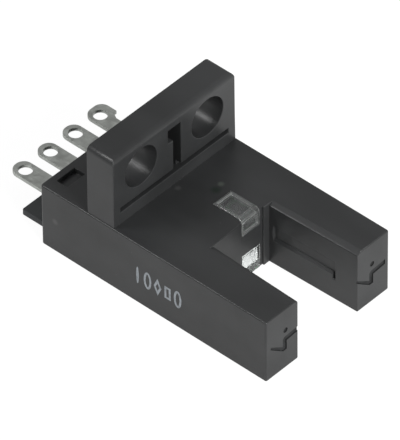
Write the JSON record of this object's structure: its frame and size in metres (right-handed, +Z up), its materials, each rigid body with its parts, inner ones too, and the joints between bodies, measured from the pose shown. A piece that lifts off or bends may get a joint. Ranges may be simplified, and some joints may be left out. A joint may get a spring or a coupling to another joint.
{
  "type": "slotted optical switch",
  "caption": "Black fork-shaped slotted optical switch with an upright two-hole flange, a clear light guide at the slot's root and flat terminals at the rear.",
  "frame": {"origin": "middle of the box round the whole switch, on its flat underside", "axes": "+Y along the case from the fork's tips to the terminals, +Z up through the flange, +X across the slot towards the arm that holds the receiver"},
  "size_m": [0.0126, 0.0256, 0.0116],
  "materials": {
    "black_case": "fine satin, slightly worn",
    "clear_guide": "clear, polished",
    "black_cover": "satin",
    "tinned_terminal": "dull tin plate",
    "black_holder": "matt",
    "green_board": "satin lacquer",
    "clear_package": "clear, slightly blue",
    "tinned_lead": "dull tin plate",
    "dark_package": "dark tinted resin",
    "mask_sheet": "plain sheet",
    "indicator": "diffuse",
    "dark_moulding": "matt",
    "resistor_ceramic": "matt with tinned ends",
    "capacitor_ceramic": "matt with tinned ends"
  },
  "bodies": {
    "root": {"case": "black_case", "light_guide": "clear_guide", "bottom_cover": "black_cover", "terminal_1": "tinned_terminal", "terminal_2": "tinned_terminal", "terminal_3": "tinned_terminal", "terminal_4": "tinned_terminal", "terminal_holder": "black_holder", "circuit_board": "green_board", "infrared_emitter": "clear_package", "emitter_lead_1": "tinned_lead", "emitter_lead_2": "tinned_lead", "photo_receiver": "dark_package", "receiver_lead_1": "tinned_lead", "receiver_lead_2": "tinned_lead", "receiver_lead_3": "tinned_lead", "slit_mask": "mask_sheet", "indicator_led": "indicator", "signal_chip": "dark_moulding", "output_transistor": "dark_moulding", "protection_diode": "dark_moulding", "emitter_resistor": "resistor_ceramic", "indicator_resistor": "resistor_ceramic", "pull_up_resistor": "resistor_ceramic", "bypass_capacitor": "capacitor_ceramic"}
  },
  "joints": []
}
